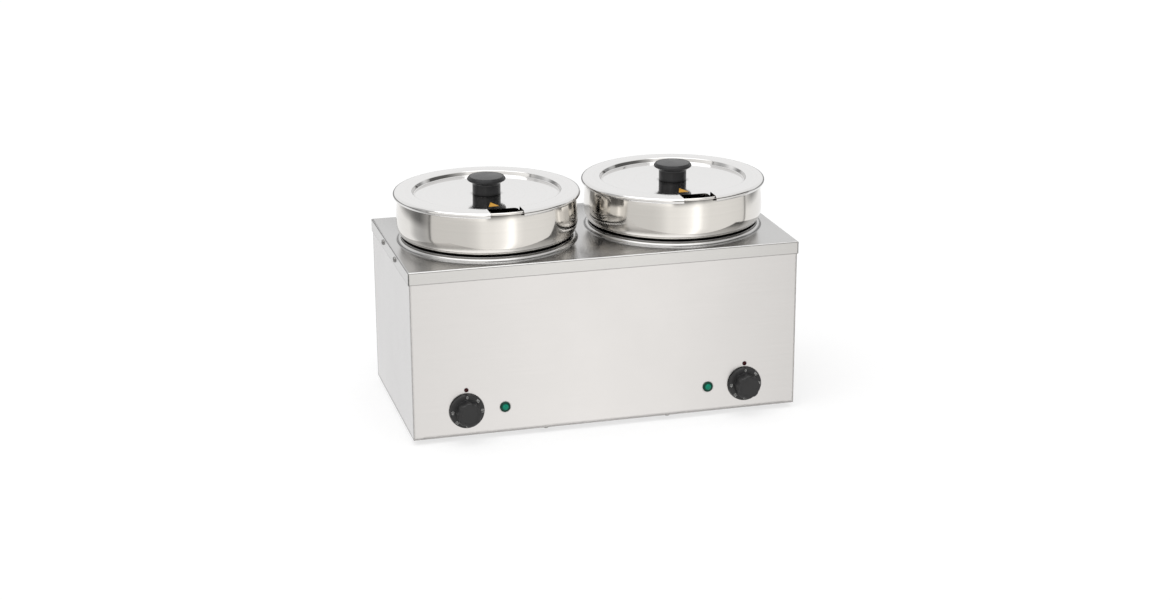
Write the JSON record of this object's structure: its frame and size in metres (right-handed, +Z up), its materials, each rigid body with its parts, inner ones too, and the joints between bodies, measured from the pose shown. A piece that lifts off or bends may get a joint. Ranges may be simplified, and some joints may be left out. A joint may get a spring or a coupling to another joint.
{
  "type": "soup kettle",
  "caption": "Counter-top hotpot: a satin steel housing with round lift-out pots in water wells, notched lids with black knobs, and a dial and lamp for each pot on the front.",
  "frame": {"origin": "on the table under the middle of the object's box", "axes": "+Z up, +X to the right seen from the front, the controls face -Y"},
  "size_m": [0.5678, 0.328, 0.3428],
  "materials": {
    "satin_steel": "satin, fine grain along the width",
    "deck_steel": "satin, fine grain along the width",
    "well_steel": "satin",
    "polished_pot": "polished stainless steel",
    "polished_lid": "polished stainless steel",
    "knob_black": "satin black moulding",
    "dial_black": "satin black moulding",
    "dial_white": "white print",
    "lamp_green": "clear tinted lens",
    "index_red": "dark red",
    "label_yellow": "plain film",
    "foot_rubber": "matt",
    "screw_steel": "plain zinc",
    "element_steel": "annealed",
    "clamp_aluminium": "mill finish",
    "moulding_dark": "matt",
    "gland_rubber": "matt",
    "copper": "plain copper",
    "moulding_white": "matt",
    "brass": "plain",
    "wire_brown": "matt insulation",
    "wire_earth": "matt insulation"
  },
  "bodies": {
    "housing": {"front_panel": "satin_steel", "left_side_panel": "satin_steel", "right_side_panel": "satin_steel", "rear_panel": "satin_steel", "bottom_plate": "satin_steel", "deck": "deck_steel", "deck_screws": "screw_steel", "bottom_plate_screws": "screw_steel", "front_left_foot": "foot_rubber", "front_right_foot": "foot_rubber", "rear_left_foot": "foot_rubber", "rear_right_foot": "foot_rubber", "foot_screws": "screw_steel", "foot_nuts": "screw_steel", "left_well": "well_steel", "right_well": "well_steel", "left_heating_element": "element_steel", "right_heating_element": "element_steel", "left_heater_clamp": "clamp_aluminium", "right_heater_clamp": "clamp_aluminium", "heater_clamp_nuts": "screw_steel", "safety_cutouts": "moulding_dark", "left_sensor": "copper", "right_sensor": "copper", "left_thermostat": "moulding_white", "right_thermostat": "moulding_white", "thermostat_screws": "screw_steel", "left_lamp_lens": "lamp_green", "right_lamp_lens": "lamp_green", "lamp_bodies": "moulding_white", "lamp_rings": "screw_steel", "left_index_dot": "index_red", "right_index_dot": "index_red", "terminal_block": "moulding_white", "terminal_block_screws": "screw_steel", "earth_bolt": "brass", "earth_nuts": "brass", "cable_gland": "moulding_dark", "gland_cap": "moulding_dark", "gland_seal": "gland_rubber", "gland_locknut": "moulding_dark", "left_wiring": "wire_brown", "right_wiring": "wire_brown", "earth_wire": "wire_earth"},
    "left_pot": {"left_pot": "polished_pot"},
    "left_lid": {"left_lid": "polished_lid", "left_lid_knob": "knob_black", "left_lid_screw": "screw_steel", "left_lid_label": "label_yellow"},
    "left_control": {"left_dial": "dial_black", "left_dial_marks": "dial_white", "left_shaft": "brass"},
    "right_pot": {"right_pot": "polished_pot"},
    "right_lid": {"right_lid": "polished_lid", "right_lid_knob": "knob_black", "right_lid_screw": "screw_steel", "right_lid_label": "label_yellow"},
    "right_control": {"right_dial": "dial_black", "right_dial_marks": "dial_white", "right_shaft": "brass"}
  },
  "joints": [
    {"name": "left_pot_lift", "type": "slide", "parent": "housing", "child": "left_pot", "axis": [0, 0, 1], "range_m": [0, 0.17]},
    {"name": "left_lid_lift", "type": "slide", "parent": "left_pot", "child": "left_lid", "axis": [0, 0, 1], "range_m": [0, 0.06]},
    {"name": "left_dial_turn", "type": "hinge", "parent": "housing", "child": "left_control", "pos_m": [-0.204, -0.147, 0.045], "axis": [0, 1, 0], "range_deg": [0, 315]},
    {"name": "right_pot_lift", "type": "slide", "parent": "housing", "child": "right_pot", "axis": [0, 0, 1], "range_m": [0, 0.17]},
    {"name": "right_lid_lift", "type": "slide", "parent": "right_pot", "child": "right_lid", "axis": [0, 0, 1], "range_m": [0, 0.06]},
    {"name": "right_dial_turn", "type": "hinge", "parent": "housing", "child": "right_control", "pos_m": [0.204, -0.147, 0.045], "axis": [0, 1, 0], "range_deg": [0, 315]}
  ]
}
